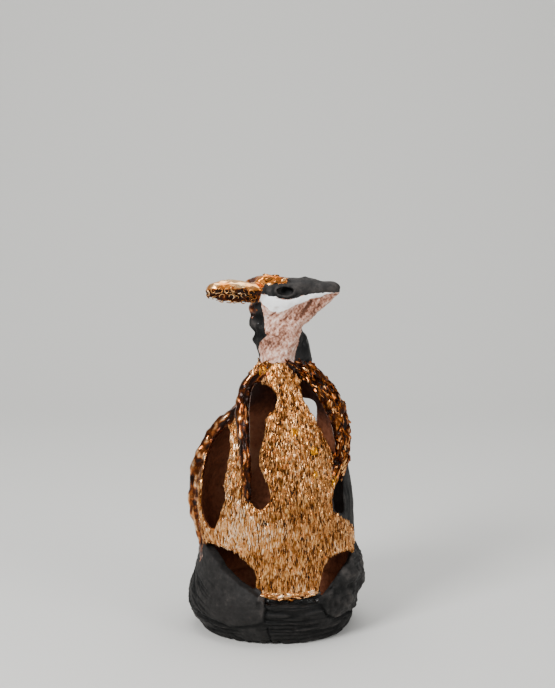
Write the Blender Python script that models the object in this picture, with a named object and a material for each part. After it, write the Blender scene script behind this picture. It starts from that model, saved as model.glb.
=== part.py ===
"""A hand-built ceramic wallaby, sitting up with its head turned to its left.

One fired piece of clay: a round black tub for the haunches, a hollow body shell cut through with
openings, rolled clay edges for the arms and the near side, a neck and a head with two ears laid back.
The front of the figure faces -Y and the muzzle points to +X. The origin is on the underside.
"""

import math

import bmesh
import bpy
from mathutils import Matrix, Vector

# Driving sizes, in metres
HEIGHT = 0.575
BODY_WALL = 0.009
TUB_WALL = 0.013
FLOOR_THICKNESS = 0.011
NECK_WALL = 0.012
SIDE_ROLL_RADIUS = 0.0105
ARM_ROLL_RADIUS = 0.011
EAR_LENGTH = 0.092
EYE_HOLLOW_RADIUS = 0.0075
EYE_HOLLOW_DEPTH = 0.010
HAUNCH_THICKNESS = 0.006

# The figure's pose and carving were laid out in millimetres on a height of 575 mm
LAID_OUT_HEIGHT_MM = 575.0
MM = HEIGHT / LAID_OUT_HEIGHT_MM

# Facets: the clay is joined on this grid, smoothed and thinned to about this many triangles
JOIN_GRID = HEIGHT / 225
SMOOTHING_PASSES = 4
TRIANGLES = 9300
SHARP_ANGLE_DEG = 50.0

RING_POINTS = 90
BODY_LEVELS = 45
TUB_LEVELS = 14
STACK_LEVELS = 14
SECTION_POINTS = 24
COIL_POINTS = 14
STEPS_PER_SPAN = 6

# The openings are cut from the middle plane out to here, past the clay
MIDDLE_GAP = 0.002
CUT_REACH = 0.35 * HEIGHT

# Body shell, millimetres: height, then reach to the left, right, front and back of the axis
BODY = [
    (56, 126, 131, 112, 120),
    (88, 124, 133, 113, 121),
    (127, 123, 129, 113, 121),
    (144, 125, 127, 114, 121),
    (186, 132, 124, 114, 120),
    (216, 134, 123, 111, 117),
    (253, 128, 116, 104, 112),
    (295, 114, 109, 93, 104),
    (320, 101, 107, 86, 97),
    (349, 77, 102, 77, 87),
    (370, 63, 95, 69, 79),
    (390, 55, 80, 60, 70),
    (411, 44, 57, 51, 61),
    (430, 32, 47, 43, 53),
    (441, 20, 30, 28, 36),
]

# Tub, millimetres, with the same columns
TUB = [
    (-6, 119, 115, 107, 117),
    (4, 127, 120, 113, 123),
    (14, 134, 124, 119, 127),
    (30, 139, 128, 124, 130),
    (43, 140, 132, 126, 131),
    (69, 137, 140, 124, 130),
    (88, 129, 143, 119, 128),
    (106, 125, 140, 114, 126),
    (127, 121, 131, 110, 124),
    (144, 120, 127, 108, 122),
]

# Height of the tub's edge, millimetres, at angles round from the front, positive to the right
TUB_EDGE = [
    (-180, 138),
    (-90, 140),
    (-66, 138),
    (-53, 129),
    (-44, 115),
    (-30, 101),
    (-14, 84),
    (-8, 72),
    (8, 67),
    (28, 70),
    (39, 88),
    (50, 106),
    (66, 119),
    (90, 135),
    (180, 138),
]

# Openings through the front half of the shell: x and height of each outline, millimetres
FRONT_OPENINGS = {
    "side_opening_left": [
        (-76, 334), (-95, 321), (-108, 296), (-116, 267), (-120, 236), (-120, 205),
        (-114, 184), (-102, 175), (-93, 190), (-85, 215), (-80, 232), (-83, 247),
        (-80, 266), (-76, 292), (-73, 319),
    ],
    "arm_opening_left": [
        (-38, 401), (-24, 406), (-11, 402), (-2, 392), (0, 380), (-6, 366), (-17, 356),
        (-20, 332), (-24, 314), (-28, 296), (-26, 282), (-19, 264), (-13, 250), (-10, 238),
        (-15, 226), (-27, 217), (-40, 228), (-41, 250), (-42, 290), (-43, 330), (-42, 370),
    ],
    "arm_opening_right": [
        (39, 408), (41, 384), (61, 350), (77, 318), (93, 283), (98, 274), (98, 296),
        (89, 330), (76, 360), (63, 384), (52, 405),
    ],
    "side_opening_right": [
        (97, 258), (91, 240), (88, 226), (89, 210), (96, 203), (104, 196), (106, 208),
        (104, 222), (104, 240), (103, 252),
    ],
    "leg_opening_left": [
        (-108, 148), (-89, 149), (-69, 147), (-54, 139), (-43, 126), (-34, 116), (-32, 84),
        (-32, 40), (-112, 40), (-114, 128),
    ],
    "leg_opening_right": [
        (114, 135), (104, 138), (86, 136), (74, 122), (69, 99), (68, 40), (116, 40),
        (119, 120),
    ],
}

# The opening high in the back, cut through the rear half
BACK_OPENING = [
    (8, 346), (28, 360), (50, 360), (63, 354), (66, 340), (65, 312), (58, 288), (43, 271),
    (24, 267), (8, 282), (1, 312),
]

# Neck, millimetres: height, x and y of the middle, then half-width and half-depth
THROAT = [
    (418, -2, -15, 29, 27),
    (433, -3, -14, 27, 26),
    (460, 2, -12, 29, 26),
    (480, 6, -10, 33, 26),
    (502, 8, -6, 34, 25),
]
MANE = [
    (412, 16, 10, 34, 30),
    (433, 18, 18, 39, 33),
    (460, 13, 18, 38, 30),
    (480, 5, 14, 38, 27),
    (505, -7, 10, 34, 25),
    (535, -12, 5, 30, 22),
    (556, -10, 2, 22, 18),
]

# The hollow of the neck, open to the body below: the same columns, but for a wall of no thickness
NECK_INSIDE = [
    (402, 12, 6, 38, 38),
    (433, 9, 4, 37, 36),
    (460, 8, 3, 35, 31),
    (480, 5, 2, 32, 27),
    (500, 0, 2, 26, 22),
]

# Head, millimetres, back to front: x, height of its top and bottom, half-depth
SKULL = [
    (-40, 540, 512, 12),
    (-32, 558, 500, 23),
    (-15, 568, 492, 30),
    (5, 570, 492, 32),
    (25, 568, 507, 30),
    (42, 571, 521, 25),
    (62, 566, 533, 20),
    (80, 564, 540, 17),
    (94, 564, 543, 14),
    (102, 556, 548, 6),
]
JAW = [
    (-22, 530, 484, 18),
    (0, 545, 470, 25),
    (20, 548, 474, 25),
    (42, 549, 489, 19),
    (62, 549, 508, 14),
    (80, 549, 525, 10),
    (94, 549, 538, 8),
    (101, 549, 545, 4),
]
HEAD_TURN_DEG = -4.0
EYE_PLACE_MM = (12, 31, 550)
EYE_LENGTH_SHARE = 1.5

# Rolled clay, millimetres: x, y, height and the share of the roll's own radius
SIDE_ROLL = [
    (-62, -22, 360, 0.7), (-76, -16, 347, 0.95), (-92, -10, 333, 1.0), (-109, -8, 311, 1.0),
    (-123, -8, 283, 1.0), (-131, -8, 250, 1.05), (-134, -8, 216, 1.0), (-132, -10, 186, 1.0),
    (-124, -16, 158, 0.95), (-118, -24, 138, 0.85), (-119, -30, 120, 0.6),
]
ARM_ROLL = [
    (-22, -38, 431, 0.7), (-38, -38, 416, 0.9), (-50, -40, 397, 1.0), (-54, -50, 375, 1.05),
    (-55, -64, 349, 1.0), (-52, -77, 322, 0.9), (-49, -88, 293, 0.8), (-47, -98, 263, 0.65),
    (-45, -105, 236, 0.45),
]
# The right arm is a broad flap: x, y, height, half-width and half-thickness
ARM_FLAP = [
    (28, -28, 436, 9, 8), (48, -30, 424, 13, 11), (68, -33, 406, 15, 13), (86, -36, 382, 17, 14),
    (98, -39, 354, 17, 14), (102, -42, 327, 16, 14), (104, -44, 300, 13, 12), (103, -48, 280, 9, 10),
    (100, -54, 263, 4, 5),
]
NAPE_LOCK = [
    (-32, 3, 532, 7), (-34, 1, 519, 10), (-33, -1, 503, 11), (-28, -3, 487, 10), (-26, -5, 472, 11),
    (-25, -7, 458, 8), (-23, -9, 441, 6),
]
BROW_ROLL = [
    (-34, -14, 560, 5.0), (-18, -15, 569, 6.0), (-4, -16, 570, 5.5), (10, -18, 567, 5.0),
    (20, -18, 566, 3.5),
]

# Ears, as shares of the ear's length: distance along it, half-width and half-thickness
EAR_SECTIONS = [
    (0.00, 0.14, 0.13), (0.20, 0.19, 0.16), (0.45, 0.225, 0.18), (0.70, 0.205, 0.165),
    (0.90, 0.14, 0.13), (1.00, 0.06, 0.05),
]
NEAR_EAR_ROOT_MM = (-20, -20, 547)
NEAR_EAR_TOWARDS = (-1.0, -0.06, 0.06)
NEAR_EAR_OPENS = (0.0, -0.62, -0.78)
FAR_EAR_ROOT_MM = (-12, 14, 554)
FAR_EAR_TOWARDS = (-0.45, 0.86, -0.2)
FAR_EAR_OPENS = (-0.7, -0.4, 0.3)
EAR_SCOOP_SHARE = 0.58
EAR_SCOOP_LIFT = 0.13

# Thumbed lumps along the rolls: their length, and how much they swell the clay
LUMP_LENGTH = 0.017
LUMP_SWELL = 0.11

# The near haunch is a slab laid over the tub: where it starts and ends, in degrees round from the
# front, and the height that it fades in over, in millimetres. The far haunch is pinched in lumps.
HAUNCH_FROM_DEG = -108.0
HAUNCH_TO_DEG = -8.0
HAUNCH_EDGE_DEG = 4.0
HAUNCH_FADE_MM = (14, 40)
PINCHED_FROM_DEG = 40.0
PINCHED_TO_DEG = 118.0
PINCH_SWELL_MM = 2.0

CLAY_BLACK = (0.028, 0.028, 0.030, 1.0)
CLAY_ROUGHNESS = 0.72


def clear_scene():
    for obj in list(bpy.data.objects):
        bpy.data.objects.remove(obj)


def between(rows, position):
    """The row of a table at this position, along a smooth curve through its rows."""
    position = min(max(position, rows[0][0]), rows[-1][0])
    i = max(k for k in range(len(rows) - 1) if rows[k][0] <= position)
    before, low, high, after = (rows[min(max(k, 0), len(rows) - 1)] for k in (i - 1, i, i + 1, i + 2))
    span = high[0] - low[0]
    t = (position - low[0]) / span
    made = []
    for a, b, c, d in zip(before[1:], low[1:], high[1:], after[1:]):
        slope_low = (c - a) / max(high[0] - before[0], 1e-9) * span
        slope_high = (d - b) / max(after[0] - low[0], 1e-9) * span
        made.append(
            (2 * t**3 - 3 * t**2 + 1) * b
            + (t**3 - 2 * t**2 + t) * slope_low
            + (3 * t**2 - 2 * t**3) * c
            + (t**3 - t**2) * slope_high
        )
    return made


def along(points, closed=False):
    """More points on a smooth curve through these, each with as many numbers."""
    count = len(points)
    spans = count if closed else count - 1
    made = []
    for i in range(spans):
        if closed:
            a, b, c, d = (points[(i + k) % count] for k in (-1, 0, 1, 2))
        else:
            a, b, c, d = (points[min(max(i + k, 0), count - 1)] for k in (-1, 0, 1, 2))
        for step in range(STEPS_PER_SPAN):
            t = step / STEPS_PER_SPAN
            made.append(
                tuple(
                    q
                    + 0.5 * (r - p) * t
                    + (p - 2.5 * q + 2 * r - 0.5 * s) * t**2
                    + (1.5 * q - 0.5 * p - 1.5 * r + 0.5 * s) * t**3
                    for p, q, r, s in zip(a, b, c, d)
                )
            )
    return made if closed else [*made, tuple(points[-1])]


def mesh_object(name, bm):
    bmesh.ops.recalc_face_normals(bm, faces=bm.faces)
    mesh = bpy.data.meshes.new(name)
    bm.to_mesh(mesh)
    bm.free()
    obj = bpy.data.objects.new(name, mesh)
    bpy.context.scene.collection.objects.link(obj)
    return obj


def loft(name, rings):
    """A closed form through rings of points, with a flat cap on the first and on the last."""
    bm = bmesh.new()
    loops = [[bm.verts.new(point) for point in ring] for ring in rings]
    for low, high in zip(loops, loops[1:]):
        for i in range(len(low)):
            j = (i + 1) % len(low)
            bm.faces.new((low[i], low[j], high[j], high[i]))
    bm.faces.new(loops[0][::-1])
    bm.faces.new(loops[-1])
    return mesh_object(name, bm)


def round_ring(rows, height_mm, inset=0.0):
    """A ring round the axis at this height, with its four reaches read from a table."""
    left, right, front, back = (reach * MM - inset for reach in between(rows, height_mm))
    ring = []
    for i in range(RING_POINTS):
        angle = 2 * math.pi * i / RING_POINTS
        x = math.sin(angle) * (right if math.sin(angle) > 0 else left)
        y = -math.cos(angle) * (front if math.cos(angle) > 0 else back)
        ring.append(Vector((x, y, height_mm * MM)))
    return ring


def ramp(low, high, value):
    """A smooth step from 0 at low to 1 at high."""
    t = min(max((value - low) / (high - low), 0.0), 1.0)
    return t * t * (3 - 2 * t)


def body_shell():
    """The egg-shaped shell: down its inner side, round its foot and up its outer side."""
    span = BODY[-1][0] - BODY[0][0]
    heights = [BODY[0][0] + span * i / (BODY_LEVELS - 1) for i in range(BODY_LEVELS)]
    wall_mm = BODY_WALL / MM
    inner = [round_ring(BODY, h, BODY_WALL) for h in heights if h < BODY[-1][0] - wall_mm]
    outer = [round_ring(BODY, h) for h in heights]
    return loft("body_shell", inner[::-1] + outer)


def haunch_swell(degrees, height_mm):
    """How far the haunches stand out from the round tub here, in metres."""
    slab = ramp(HAUNCH_FROM_DEG, HAUNCH_FROM_DEG + 5 * HAUNCH_EDGE_DEG, degrees)
    slab *= 1 - ramp(HAUNCH_TO_DEG - HAUNCH_EDGE_DEG, HAUNCH_TO_DEG, degrees)
    slab *= ramp(*HAUNCH_FADE_MM, height_mm)
    pinched = ramp(PINCHED_FROM_DEG, PINCHED_FROM_DEG + 15, degrees)
    pinched *= 1 - ramp(PINCHED_TO_DEG - 15, PINCHED_TO_DEG, degrees)
    pinched *= math.sin(degrees / 7 + height_mm / 9) + math.sin(degrees / 11 - height_mm / 6)
    return slab * HAUNCH_THICKNESS + pinched * PINCH_SWELL_MM * MM


def tub():
    """The round tub: up outside to its uneven edge, down inside and across the floor."""
    levels = [i / (TUB_LEVELS - 1) for i in range(TUB_LEVELS)]

    def ring(level, inset, lowest_mm):
        made = []
        for i in range(RING_POINTS):
            degrees = 360 * i / RING_POINTS - 180
            top = between(TUB_EDGE, degrees)[0]
            height = lowest_mm + (top - lowest_mm) * level
            swell = 0.0 if inset else haunch_swell(degrees, height)
            left, right, front, back = (reach * MM - inset + swell for reach in between(TUB, height))
            sine, cosine = math.sin(math.radians(degrees)), math.cos(math.radians(degrees))
            x = sine * (right if sine > 0 else left)
            y = -cosine * (front if cosine > 0 else back)
            made.append(Vector((x, y, height * MM)))
        return made

    outer = [ring(level, 0.0, TUB[0][0]) for level in levels]
    inner = [ring(level, TUB_WALL, FLOOR_THICKNESS / MM) for level in levels]
    return loft("tub", outer + inner[::-1])


def prism(name, outline_mm, near_y, far_y):
    """A cutter: an outline in the front view, drawn out along Y."""
    points = [(x * MM, z * MM) for x, z in along(outline_mm, closed=True)]
    return loft(name, [[Vector((x, y, z)) for x, z in points] for y in (near_y, far_y)])


def round_angles(count):
    return [2 * math.pi * k / count for k in range(count)]


def stack(name, rows, inset=0.0):
    """A form of round sections one above another, as for the neck."""
    rings = []
    for i in range(STACK_LEVELS):
        height = rows[0][0] + (rows[-1][0] - rows[0][0]) * i / (STACK_LEVELS - 1)
        middle_x, middle_y, half_width, half_depth = (value * MM for value in between(rows, height))
        ring = []
        for a in round_angles(SECTION_POINTS):
            x = middle_x + (half_width - inset) * math.cos(a)
            y = middle_y + (half_depth - inset) * math.sin(a)
            ring.append(Vector((x, y, height * MM)))
        rings.append(ring)
    return loft(name, rings)


def length_of_head(name, rows):
    """A form of upright oval sections along X, turned a little about the neck."""
    turn = Matrix.Rotation(math.radians(HEAD_TURN_DEG), 3, "Z")
    rings = []
    for i in range(STACK_LEVELS + 5):
        x = rows[0][0] + (rows[-1][0] - rows[0][0]) * i / (STACK_LEVELS + 4)
        top, bottom, half_depth = between(rows, x)
        ring = []
        for a in round_angles(SECTION_POINTS):
            height = (top + bottom) / 2 + (top - bottom) / 2 * math.sin(a)
            ring.append(turn @ Vector((x, half_depth * math.cos(a), height)) * MM)
        rings.append(ring)
    return loft(name, rings)


def coil(name, path):
    """A thumbed roll of clay along a path: x, y, z, half-width and half-thickness in metres."""
    rows = along(path)
    centres = [Vector(row[:3]) for row in rows]
    rings = []
    travelled = 0.0
    for i, row in enumerate(rows):
        travelled += (centres[i] - centres[max(i - 1, 0)]).length
        tangent = (centres[min(i + 1, len(rows) - 1)] - centres[max(i - 1, 0)]).normalized()
        outward = Vector((row[0], row[1], 0.0)).normalized()
        side = tangent.cross(outward).normalized()
        outward = side.cross(tangent)
        ring = []
        for a in round_angles(COIL_POINTS):
            phase = 2 * math.pi * travelled / LUMP_LENGTH
            swell = 1 + LUMP_SWELL * (math.sin(phase + 2 * a) + 0.6 * math.sin(0.63 * phase - a))
            ring.append(centres[i] + (side * row[3] * math.cos(a) + outward * row[4] * math.sin(a)) * swell)
        rings.append(ring)
    return loft(name, rings)


def round_coil(name, path_mm, radius):
    """A round roll: each point's last number is its share of the radius."""
    return coil(name, [(x * MM, y * MM, z * MM, s * radius, s * radius) for x, y, z, s in path_mm])


def ear(name, root_mm, towards, opening):
    """An ear laid back: a leaf of clay along a line, with its inside scooped out on the opening side."""
    root, line = Vector(root_mm) * MM, Vector(towards).normalized()
    open_way = Vector(opening)
    open_way = (open_way - line * open_way.dot(line)).normalized()
    side = line.cross(open_way)

    def leaf(part, share, lift, sections):
        rings = []
        for distance, half_width, half_thickness in sections:
            centre = root + (line * distance + open_way * lift) * EAR_LENGTH
            wide, thick = (half * share * EAR_LENGTH for half in (half_width, half_thickness))
            ring = []
            for a in round_angles(SECTION_POINTS):
                ring.append(centre + side * (wide * math.cos(a)) + open_way * (thick * math.sin(a)))
            rings.append(ring)
        return loft(part, rings)

    sections = along(EAR_SECTIONS)
    flesh = leaf(name, 1.0, 0.0, sections)
    hollow = [row for row in sections if EAR_SECTIONS[1][0] <= row[0] <= EAR_SECTIONS[-2][0]]
    scoop = leaf(name + "_scoop", EAR_SCOOP_SHARE, EAR_SCOOP_LIFT, hollow)
    return carved(flesh, [scoop])


def ball(name, centre, radii):
    bm = bmesh.new()
    bmesh.ops.create_uvsphere(bm, u_segments=20, v_segments=12, radius=1.0)
    bmesh.ops.scale(bm, vec=Vector(radii), verts=bm.verts)
    bmesh.ops.translate(bm, vec=Vector(centre), verts=bm.verts)
    return mesh_object(name, bm)


def evaluated_mesh(obj):
    graph = bpy.context.evaluated_depsgraph_get()
    return bpy.data.meshes.new_from_object(obj.evaluated_get(graph))


def carved(obj, cutters):
    """Cuts each cutter out of the object, and removes the cutters."""
    for cutter in cutters:
        cut = obj.modifiers.new(cutter.name, "BOOLEAN")
        cut.operation = "DIFFERENCE"
        cut.solver = "EXACT"
        cut.object = cutter
    bpy.context.view_layer.update()
    obj.data = evaluated_mesh(obj)
    obj.modifiers.clear()
    for cutter in cutters:
        bpy.data.objects.remove(cutter)
    return obj


def joined(name, pieces):
    """All the pieces of wet clay in one mesh, still overlapping."""
    bm = bmesh.new()
    for piece in pieces:
        bm.from_mesh(piece.data)
        bpy.data.objects.remove(piece)
    mesh = bpy.data.meshes.new(name)
    bm.to_mesh(mesh)
    bm.free()
    obj = bpy.data.objects.new(name, mesh)
    bpy.context.scene.collection.objects.link(obj)
    return obj


def fused(obj):
    """Fuses the overlapping clay into one skin, smooths it and thins it to the wanted triangles."""
    remesh = obj.modifiers.new("fuse", "REMESH")
    remesh.mode = "VOXEL"
    remesh.voxel_size = JOIN_GRID
    smooth = obj.modifiers.new("smooth", "SMOOTH")
    smooth.factor = 0.5
    smooth.iterations = SMOOTHING_PASSES
    bpy.context.view_layer.update()
    obj.data = evaluated_mesh(obj)
    obj.modifiers.clear()
    thin = obj.modifiers.new("thin", "DECIMATE")
    thin.ratio = TRIANGLES / (2 * len(obj.data.polygons))
    bpy.context.view_layer.update()
    obj.data = evaluated_mesh(obj)
    obj.modifiers.clear()
    return obj


def flat_foot(obj):
    """Trims the foot to a flat ring and floor at height zero."""
    bm = bmesh.new()
    bm.from_mesh(obj.data)
    cut = bmesh.ops.bisect_plane(
        bm,
        geom=[*bm.verts, *bm.edges, *bm.faces],
        dist=1e-6,
        plane_co=(0, 0, 0),
        plane_no=(0, 0, -1),
        clear_outer=True,
    )
    edges = [e for e in cut["geom_cut"] if isinstance(e, bmesh.types.BMEdge)]
    bmesh.ops.triangle_fill(bm, edges=edges, use_beauty=True)
    bmesh.ops.recalc_face_normals(bm, faces=bm.faces)
    bm.to_mesh(obj.data)
    bm.free()
    return obj


def clay():
    material = bpy.data.materials.new("black_clay")
    material.use_nodes = True
    shader = material.node_tree.nodes["Principled BSDF"]
    shader.inputs["Base Color"].default_value = CLAY_BLACK
    shader.inputs["Roughness"].default_value = CLAY_ROUGHNESS
    shader.inputs["Metallic"].default_value = 0.0
    return material


def head():
    """Skull, jaw, brow, ears and eye hollows."""
    eye_x, eye_y, eye_z = EYE_PLACE_MM
    hollows = [
        ball(
            f"eye_hollow_{side}",
            Vector((eye_x, sign * eye_y, eye_z)) * MM,
            (EYE_HOLLOW_RADIUS * EYE_LENGTH_SHARE, EYE_HOLLOW_DEPTH, EYE_HOLLOW_RADIUS),
        )
        for side, sign in (("near", -1), ("far", 1))
    ]
    skull = carved(length_of_head("skull", SKULL), hollows)
    return [
        skull,
        length_of_head("jaw", JAW),
        round_coil("brow", BROW_ROLL, MM),
        ear("near_ear", NEAR_EAR_ROOT_MM, NEAR_EAR_TOWARDS, NEAR_EAR_OPENS),
        ear("far_ear", FAR_EAR_ROOT_MM, FAR_EAR_TOWARDS, FAR_EAR_OPENS),
    ]


def neck_inside():
    return stack("neck_inside", NECK_INSIDE, NECK_WALL)


def wallaby():
    openings = [prism(name, outline, -CUT_REACH, -MIDDLE_GAP) for name, outline in FRONT_OPENINGS.items()]
    openings.append(prism("back_opening", BACK_OPENING, MIDDLE_GAP, CUT_REACH))
    pieces = [
        carved(body_shell(), [*openings, neck_inside()]),
        tub(),
        carved(stack("throat", THROAT), [neck_inside()]),
        carved(stack("mane", MANE), [neck_inside()]),
        round_coil("side_roll", SIDE_ROLL, SIDE_ROLL_RADIUS),
        round_coil("arm_roll", ARM_ROLL, ARM_ROLL_RADIUS),
        coil("arm_flap", [tuple(value * MM for value in row) for row in ARM_FLAP]),
        round_coil("nape_lock", NAPE_LOCK, MM),
        *head(),
    ]
    figure = flat_foot(fused(joined("wallaby", pieces)))
    figure.data.materials.clear()
    figure.data.materials.append(clay())
    figure.data.shade_smooth()
    figure.data.set_sharp_from_angle(angle=math.radians(SHARP_ANGLE_DEG))
    return figure


clear_scene()
wallaby()
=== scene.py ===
# %% [markdown]
# # A hand-built ceramic wallaby
#
# The real figure is one hollow piece of fired clay. Its maker rolled and pinched the clay, gouged the
# belly, combed the base, and then brushed on black and white slips and metallic lustres. This lesson
# starts from the plain solid and adds what the hand and the brush left on it.

import math

import bpy
import numpy as np
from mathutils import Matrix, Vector


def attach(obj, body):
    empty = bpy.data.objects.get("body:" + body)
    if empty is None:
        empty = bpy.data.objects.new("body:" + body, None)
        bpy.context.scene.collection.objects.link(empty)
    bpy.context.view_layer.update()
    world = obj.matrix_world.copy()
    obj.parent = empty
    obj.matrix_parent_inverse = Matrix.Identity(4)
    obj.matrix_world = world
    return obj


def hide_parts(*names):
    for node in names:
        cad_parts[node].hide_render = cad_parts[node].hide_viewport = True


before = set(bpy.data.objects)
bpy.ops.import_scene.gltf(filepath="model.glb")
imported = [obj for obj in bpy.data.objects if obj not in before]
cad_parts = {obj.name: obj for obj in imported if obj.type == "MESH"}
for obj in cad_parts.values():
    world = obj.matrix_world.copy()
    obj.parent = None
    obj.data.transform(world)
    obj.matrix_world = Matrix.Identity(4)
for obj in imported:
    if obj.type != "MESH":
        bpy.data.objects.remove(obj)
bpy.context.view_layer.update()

# %% [markdown]
# ## Small helpers for colour and nodes
#
# Colours are picked in sRGB, as on a screen, but Blender's shaders count light in linear steps. One
# function turns a hex value into linear numbers. Another adds a node with its settings and links, so
# that each material below can be read like a recipe.

# %% Colour and node helpers


def linear(hex_colour):
    """An sRGB hex colour, such as "C0763A", as four linear numbers."""
    made = []
    for start in (0, 2, 4):
        value = int(hex_colour[start : start + 2], 16) / 255
        made.append(value / 12.92 if value <= 0.04045 else ((value + 0.055) / 1.055) ** 2.4)
    return (*made, 1.0)


def plug_in(tree, node, values):
    """Fills a node's inputs, in order or by name: with a value, a socket, or a node's main output."""
    shown = [s for s in node.inputs if s.enabled]
    for name, value in values.items() if isinstance(values, dict) else enumerate(values):
        socket = next(s for k, s in enumerate(shown) if name in (k, s.name))
        if isinstance(value, bpy.types.Node):
            value = next(s for s in value.outputs if s.enabled)
        if isinstance(value, bpy.types.NodeSocket):
            tree.links.new(value, socket)
        else:
            socket.default_value = value


def add_node(tree, kind, values=(), stops=(), **settings):
    """Adds a node with its settings and inputs, and a colour ramp's stops as places and hex colours."""
    made = tree.nodes.new(kind)
    for name, value in settings.items():
        setattr(made, name, value)
    plug_in(tree, made, values)
    if stops:
        band = made.color_ramp.elements
        band[0].position, band[1].position = stops[0][0], stops[-1][0]
        band[0].color, band[1].color = linear(stops[0][1]), linear(stops[-1][1])
        for place, colour in stops[1:-1]:
            band.new(place).color = linear(colour)
    return made


print("copper in linear light:", [round(v, 3) for v in linear("C0763A")])

# %% [markdown]
# ## Where each part of the animal is
#
# All the carving and painting below asks the same question of every point: which part of the animal is
# this? The figure stands on its axis, so a point is placed by its height and by the angle round from
# the front. The edges of the glazes are short curves, read off at a few heights or angles. Everything
# here is in millimetres, because a potter's marks are.

# %% Rolls of clay along the arms and the side
SIDE_ROLL = [
    (-62, -22, 360), (-76, -16, 347), (-92, -10, 333), (-109, -8, 311), (-123, -8, 283), (-131, -8, 250),
    (-134, -8, 216), (-132, -10, 186), (-124, -16, 158), (-118, -24, 138), (-119, -30, 120),
]
ARM_ROLL = [
    (-22, -38, 431), (-38, -38, 416), (-50, -40, 397), (-54, -50, 375), (-55, -64, 349), (-52, -77, 322),
    (-49, -88, 293), (-47, -98, 263), (-45, -105, 236),
]
ARM_FLAP = [
    (28, -28, 436), (48, -30, 424), (68, -33, 406), (86, -36, 382), (98, -39, 354), (102, -42, 327),
    (104, -44, 300), (103, -48, 280), (100, -54, 263),
]
FLAP_RADIUS = 15.0

# %% Edges of the glazes
SHOULDER_Z = 437
# Height of the black base's edge, at angles round from the front, positive to the right
BASE_EDGE = [
    (-180, 143), (-90, 145), (-66, 143), (-53, 134), (-44, 120), (-30, 106), (-14, 89), (-8, 77),
    (8, 73), (28, 76), (39, 93), (50, 111), (66, 124), (90, 140), (180, 143),
]
# The gold's right edge: angle round from the front, at heights
GOLD_RIGHT = [
    (110, 74), (135, 77), (147, 92), (167, 81), (185, 66), (209, 48), (226, 49), (239, 52), (261, 63),
    (290, 70), (360, 78), (440, 80),
]
GOLD_LEFT_DEG = -99.0
# How far copper reaches round the side roll and the arm's roll, at heights
SIDE_REACH = [(120, 10), (150, 15), (185, 25), (330, 27), (362, 15)]
ARM_REACH = [(236, 8), (290, 10), (340, 14), (400, 16)]
# Along the head: height where black meets white, and where white meets the pink throat
BLACK_TO_WHITE = [
    (-30, 548), (-19, 545), (-3, 543), (5, 539), (19, 537), (39, 543), (55, 547), (73, 548), (102, 547),
]
WHITE_TO_PINK = [
    (-30, 541), (-25, 535), (-20, 528), (-11, 520), (5, 517), (16, 521), (25, 526), (39, 532),
    (52, 536), (63, 540), (77, 545), (102, 549),
]
# The black at the nape and the mane: how far it comes forward, at heights
NAPE_REACH = [(434, -26), (464, -28), (468, -27), (478, -18), (498, -18.5), (525, -24), (531, -26)]
MANE_REACH = [(430, 26), (445, 28), (464, 36), (482, 38), (500, 90)]
# The lip of clay at the belly's foot: its height, its middle's angle round and half its spread
LIP_Z = 81
LIP_DEG = 8
LIP_HALF_DEG = 29
EYE = (13, 31, 550)
MOUTH = [(54, 534), (38, 509)]
# Yellow glaze spattered on the belly: x, height and radius
YELLOW_SPOTS = [(28, 335, 6), (58, 304, 6.5), (-22, 424, 6), (90, 252, 5), (60, 268, 4)]


def read_off(table, at):
    """The value of a two-column table at these places, in straight steps."""
    return np.interp(at, [row[0] for row in table], [row[1] for row in table])


print("the base's edge at the front is", read_off(BASE_EDGE, 0), "mm high")

# %% [markdown]
# ## Measuring tools
#
# Small functions do the measuring: a soft step, the distance from a bent path, soft random hills, and
# a groove where a landscape crosses nought. The hills stand on a lattice of random heights, so they
# give the same landscape each time, and stretching the lattice turns hills into grain.

# %% Steps, paths, hills and grooves
# The lattice looks its heights up in a list of this length, spread over it by large primes
LATTICE = 8192
PRIMES = np.array([73856093, 19349663, 83492791])


def ramp(low, high, value):
    """A smooth step from 0 at low to 1 at high."""
    t = np.clip((value - low) / (high - low), 0, 1)
    return t * t * (3 - 2 * t)


def along_path(points, path):
    """Each point's distance from a path, how far along it lies, and how far to its right."""
    nearest = np.full(len(points), 1e9)
    place = np.zeros(len(points))
    sideways = np.zeros(len(points))
    travelled = 0.0
    for start, end in zip(np.array(path[:-1], float), np.array(path[1:], float)):
        line = end - start
        length = np.linalg.norm(line)
        share = np.clip((points - start) @ line / length**2, 0, 1)
        offset = points - start - share[:, None] * line
        away = np.linalg.norm(offset, axis=1)
        to_right = np.cross(line / length, (0.0, 1.0, 0.0))
        closer = away < nearest
        nearest[closer] = away[closer]
        place[closer] = travelled + share[closer] * length
        sideways[closer] = (offset @ to_right)[closer]
        travelled += length
    return nearest, place, sideways


def hills(points, size, seed):
    """Soft random hills from -1 to 1, about size millimetres across: one size, or one for each axis."""
    heights = np.random.default_rng(seed).uniform(-1, 1, LATTICE)
    scaled = points / np.asarray(size, float)
    cell = np.floor(scaled).astype(np.int64)
    share = scaled - cell
    share = share * share * (3 - 2 * share)
    total = np.zeros(len(points))
    for corner in np.ndindex(2, 2, 2):
        weight = np.prod(np.where(np.array(corner, bool), share, 1 - share), axis=1)
        key = ((cell + corner) * PRIMES).sum(axis=1)
        total += weight * heights[(key ^ (key >> 13)) & (LATTICE - 1)]
    return total


def groove(height, width):
    """1 along the lines where a landscape crosses nought, and 0 away from them."""
    return np.exp(-((height / width) ** 2))


print("a test hill:", hills(np.array([[1.0, 2.0, 3.0]]), 10, 1).round(3))

# %% [markdown]
# ## Wet clay
#
# The solid has about nine thousand flat triangles. Subdividing rounds them off, as a wet hand would,
# and a voxel remesh then lays an even net over the clay, inside and out. The net is fine enough to
# carry the tool marks as real shape, so that they also show on the outline.

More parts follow.
